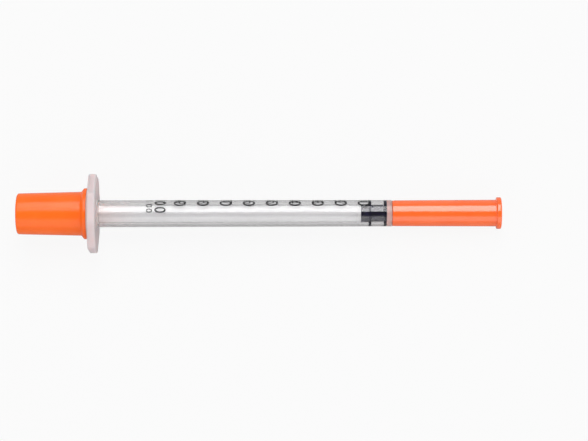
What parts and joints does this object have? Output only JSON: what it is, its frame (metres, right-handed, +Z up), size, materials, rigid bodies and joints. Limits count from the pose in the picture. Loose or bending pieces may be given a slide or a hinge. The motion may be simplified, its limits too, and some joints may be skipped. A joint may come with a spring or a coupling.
{
  "type": "insulin syringe",
  "caption": "Capped disposable insulin syringe: flanged clear barrel with a printed unit scale, ribbed plunger, rubber stopper, fixed fine needle, push-on needle shield and plunger cap.",
  "frame": {"origin": "centre of the plunger cap's closed end, on the syringe's axis", "axes": "+X along the syringe towards the needle, +Y towards the side that carries the printed scale, +Z up, square to the flange's long flat side, which is the side it lies on"},
  "size_m": [0.1194, 0.0188, 0.0152],
  "materials": {
    "barrel_plastic": "glossy, slightly hazy clear moulding",
    "scale_ink": "thin printed ink",
    "needle_steel": "polished stainless tube",
    "cured_adhesive": "clear cured resin",
    "shield_plastic": "satin moulded orange",
    "rod_plastic": "milky white moulding",
    "stopper_rubber": "siliconed black rubber",
    "cap_plastic": "satin moulded orange"
  },
  "bodies": {
    "barrel": {"barrel": "barrel_plastic", "scale_lines": "scale_ink", "needle": "needle_steel", "needle_adhesive": "cured_adhesive"},
    "stopper": {"stopper": "stopper_rubber"},
    "plunger_rod": {"plunger_rod": "rod_plastic"},
    "plunger_cap": {"plunger_cap": "cap_plastic"},
    "needle_shield": {"needle_shield": "shield_plastic"}
  },
  "joints": [
    {"name": "plunger_slide", "type": "slide", "parent": "barrel", "child": "stopper", "axis": [-1, 0, 0], "range_m": [0, 0.0625]},
    {"name": "plunger_turn", "type": "hinge", "parent": "stopper", "child": "plunger_rod", "pos_m": [0.086, 0, 0], "axis": [1, 0, 0], "continuous": true},
    {"name": "cap_pull", "type": "slide", "parent": "plunger_rod", "child": "plunger_cap", "axis": [-1, 0, 0], "range_m": [0, 0.022]},
    {"name": "shield_pull", "type": "slide", "parent": "barrel", "child": "needle_shield", "axis": [1, 0, 0], "range_m": [0, 0.026]}
  ]
}
